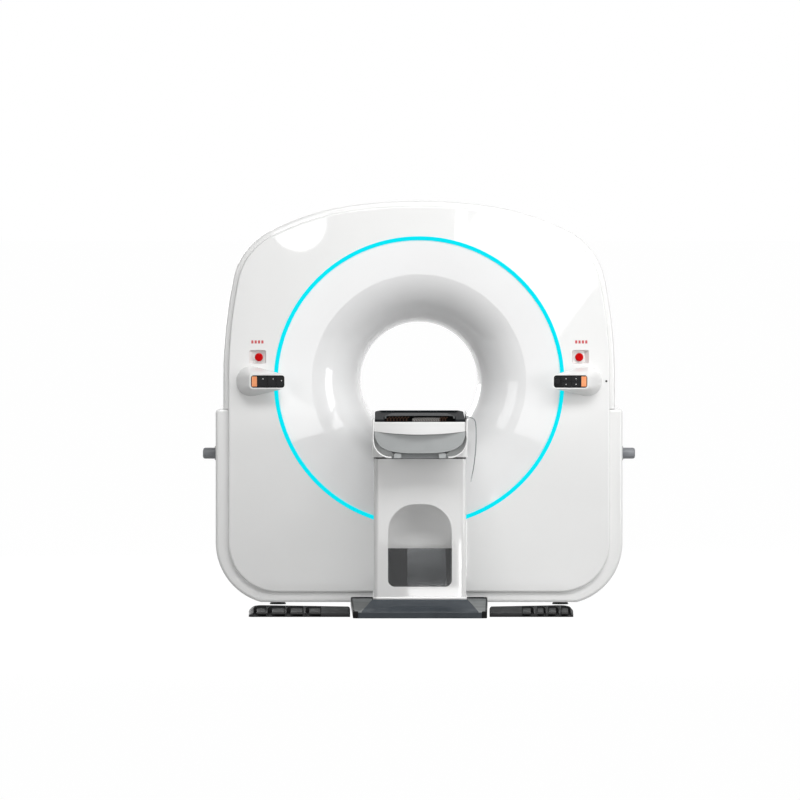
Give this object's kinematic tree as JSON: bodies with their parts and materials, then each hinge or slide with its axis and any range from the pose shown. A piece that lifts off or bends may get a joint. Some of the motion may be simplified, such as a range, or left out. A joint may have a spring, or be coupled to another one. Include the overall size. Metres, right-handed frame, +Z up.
{
  "type": "ct scanner",
  "caption": "Computed-tomography scanner: a domed gantry with a round lit bore, and a patient table on a box pedestal with a sliding tray and foot switches.",
  "frame": {"origin": "on the floor under the middle of the whole machine, table and gantry together", "axes": "+X to the right seen from the table's near end, +Y from the table into the scan bore, +Z up"},
  "size_m": [2.1, 2.9, 1.9675],
  "materials": {
    "cover_white": "gloss",
    "funnel_white": "satin",
    "light_cyan": "gloss",
    "frame_black": "satin",
    "bearing_steel": "satin",
    "rotor_aluminium": "satin",
    "module_grey": "satin",
    "window_dark": "matte",
    "pad_black": "satin",
    "key_black": "satin",
    "key_amber": "satin",
    "stop_red": "gloss",
    "peg_rubber": "matte",
    "base_graphite": "gloss",
    "smoke_pane": "gloss",
    "hull_grey": "satin",
    "tray_black": "gloss",
    "mat_weave": "matte",
    "lead_grey": "matte",
    "plug_pale": "satin",
    "pedal_black": "matte"
  },
  "bodies": {
    "machine": {"gantry_frame": "frame_black", "main_bearing": "bearing_steel", "top_cover": "cover_white", "side_cover_left": "cover_white", "side_cover_right": "cover_white", "front_cover": "cover_white", "rear_cover": "cover_white", "light_ring": "light_cyan", "front_funnel": "funnel_white", "rear_funnel": "funnel_white", "bore_liner": "funnel_white", "scan_window": "window_dark", "sensor_dot": "pad_black", "pod_left": "cover_white", "pod_right": "cover_white", "keypad_left": "pad_black", "keypad_right": "pad_black", "side_peg_left": "peg_rubber", "side_peg_right": "peg_rubber", "table_base": "base_graphite", "column": "cover_white", "pocket_panel": "smoke_pane", "foot_switch_left": "pedal_black", "foot_switch_right": "pedal_black"},
    "rotor": {"rotor_drum": "rotor_aluminium", "slip_ring": "module_grey", "xray_tube": "module_grey", "detector": "rotor_aluminium", "generator": "module_grey", "cooling_unit": "module_grey"},
    "couch": {"lift_sleeve": "module_grey", "couch_shell": "cover_white", "couch_hull": "hull_grey", "hull_insert": "hull_grey", "lead_gland": "pad_black", "patient_lead": "lead_grey", "lead_plug": "plug_pale"},
    "tray": {"cradle": "tray_black", "cradle_mat": "mat_weave", "end_cap": "cover_white"},
    "knob_body": {"knob": "pad_black"},
    "key_1_left_body": {"key_1_left": "key_black"},
    "key_2_left_body": {"key_2_left": "key_black"},
    "key_3_left_body": {"key_3_left": "key_black"},
    "key_1_right_body": {"key_1_right": "key_black"},
    "key_2_right_body": {"key_2_right": "key_black"},
    "key_3_right_body": {"key_3_right": "key_black"},
    "key_4_right_body": {"key_4_right": "key_black"},
    "amber_key_left_body": {"amber_key_left": "key_amber"},
    "amber_key_right_body": {"amber_key_right": "key_amber"},
    "stop_button_left_body": {"stop_button_left": "stop_red"},
    "stop_button_right_body": {"stop_button_right": "stop_red"},
    "pedal_left_1_body": {"pedal_left_1": "pedal_black"},
    "pedal_left_2_body": {"pedal_left_2": "pedal_black"},
    "pedal_left_3_body": {"pedal_left_3": "pedal_black"},
    "pedal_left_4_body": {"pedal_left_4": "pedal_black"},
    "pedal_right_1_body": {"pedal_right_1": "pedal_black"},
    "pedal_right_2_body": {"pedal_right_2": "pedal_black"},
    "pedal_right_3_body": {"pedal_right_3": "pedal_black"},
    "pedal_right_4_body": {"pedal_right_4": "pedal_black"}
  },
  "joints": [
    {"name": "rotor_spin", "type": "hinge", "parent": "machine", "child": "rotor", "pos_m": [0, 1.05, 1.082], "axis": [0, 1, 0], "continuous": true},
    {"name": "couch_lift", "type": "slide", "parent": "machine", "child": "couch", "axis": [0, 0, 1], "range_m": [0, 0.1]},
    {"name": "tray_slide", "type": "slide", "parent": "couch", "child": "tray", "axis": [0, 1, 0], "range_m": [0, 1.3]},
    {"name": "knob_turn", "type": "hinge", "parent": "machine", "child": "knob_body", "pos_m": [0.67, 0.5, 1.084], "axis": [0, 1, 0], "range_deg": [-135, 135]},
    {"name": "key_1_left_press", "type": "slide", "parent": "machine", "child": "key_1_left_body", "axis": [0, 1, 0], "range_m": [0, 0.0015], "stiffness_N_per_m": 1200},
    {"name": "key_2_left_press", "type": "slide", "parent": "machine", "child": "key_2_left_body", "axis": [0, 1, 0], "range_m": [0, 0.0015], "stiffness_N_per_m": 1200},
    {"name": "key_3_left_press", "type": "slide", "parent": "machine", "child": "key_3_left_body", "axis": [0, 1, 0], "range_m": [0, 0.0015], "stiffness_N_per_m": 1200},
    {"name": "key_1_right_press", "type": "slide", "parent": "machine", "child": "key_1_right_body", "axis": [0, 1, 0], "range_m": [0, 0.0015], "stiffness_N_per_m": 1200},
    {"name": "key_2_right_press", "type": "slide", "parent": "machine", "child": "key_2_right_body", "axis": [0, 1, 0], "range_m": [0, 0.0015], "stiffness_N_per_m": 1200},
    {"name": "key_3_right_press", "type": "slide", "parent": "machine", "child": "key_3_right_body", "axis": [0, 1, 0], "range_m": [0, 0.0015], "stiffness_N_per_m": 1200},
    {"name": "key_4_right_press", "type": "slide", "parent": "machine", "child": "key_4_right_body", "axis": [0, 1, 0], "range_m": [0, 0.0015], "stiffness_N_per_m": 1200},
    {"name": "amber_key_left_press", "type": "slide", "parent": "machine", "child": "amber_key_left_body", "axis": [0, 1, 0], "range_m": [0, 0.0015], "stiffness_N_per_m": 1200},
    {"name": "amber_key_right_press", "type": "slide", "parent": "machine", "child": "amber_key_right_body", "axis": [0, 1, 0], "range_m": [0, 0.0015], "stiffness_N_per_m": 1200},
    {"name": "stop_button_left_press", "type": "slide", "parent": "machine", "child": "stop_button_left_body", "axis": [0, 1, 0], "range_m": [0, 0.005], "stiffness_N_per_m": 3000},
    {"name": "stop_button_right_press", "type": "slide", "parent": "machine", "child": "stop_button_right_body", "axis": [0, 1, 0], "range_m": [0, 0.005], "stiffness_N_per_m": 3000},
    {"name": "pedal_left_1_press", "type": "hinge", "parent": "machine", "child": "pedal_left_1_body", "pos_m": [0, -1.132, 0.0345], "axis": [1, 0, 0], "range_deg": [0, 2.5], "stiffness_Nm_per_rad": 60, "springref_deg": -1.15},
    {"name": "pedal_left_2_press", "type": "hinge", "parent": "machine", "child": "pedal_left_2_body", "pos_m": [0, -1.132, 0.0345], "axis": [1, 0, 0], "range_deg": [0, 2.5], "stiffness_Nm_per_rad": 60, "springref_deg": -1.15},
    {"name": "pedal_left_3_press", "type": "hinge", "parent": "machine", "child": "pedal_left_3_body", "pos_m": [0, -1.132, 0.0345], "axis": [1, 0, 0], "range_deg": [0, 2.5], "stiffness_Nm_per_rad": 60, "springref_deg": -1.15},
    {"name": "pedal_left_4_press", "type": "hinge", "parent": "machine", "child": "pedal_left_4_body", "pos_m": [0, -1.132, 0.0345], "axis": [1, 0, 0], "range_deg": [0, 2.5], "stiffness_Nm_per_rad": 60, "springref_deg": -1.15},
    {"name": "pedal_right_1_press", "type": "hinge", "parent": "machine", "child": "pedal_right_1_body", "pos_m": [0, -1.132, 0.0345], "axis": [1, 0, 0], "range_deg": [0, 2.5], "stiffness_Nm_per_rad": 60, "springref_deg": -1.15},
    {"name": "pedal_right_2_press", "type": "hinge", "parent": "machine", "child": "pedal_right_2_body", "pos_m": [0, -1.132, 0.0345], "axis": [1, 0, 0], "range_deg": [0, 2.5], "stiffness_Nm_per_rad": 60, "springref_deg": -1.15},
    {"name": "pedal_right_3_press", "type": "hinge", "parent": "machine", "child": "pedal_right_3_body", "pos_m": [0, -1.132, 0.0345], "axis": [1, 0, 0], "range_deg": [0, 2.5], "stiffness_Nm_per_rad": 60, "springref_deg": -1.15},
    {"name": "pedal_right_4_press", "type": "hinge", "parent": "machine", "child": "pedal_right_4_body", "pos_m": [0, -1.132, 0.0345], "axis": [1, 0, 0], "range_deg": [0, 2.5], "stiffness_Nm_per_rad": 60, "springref_deg": -1.15}
  ]
}
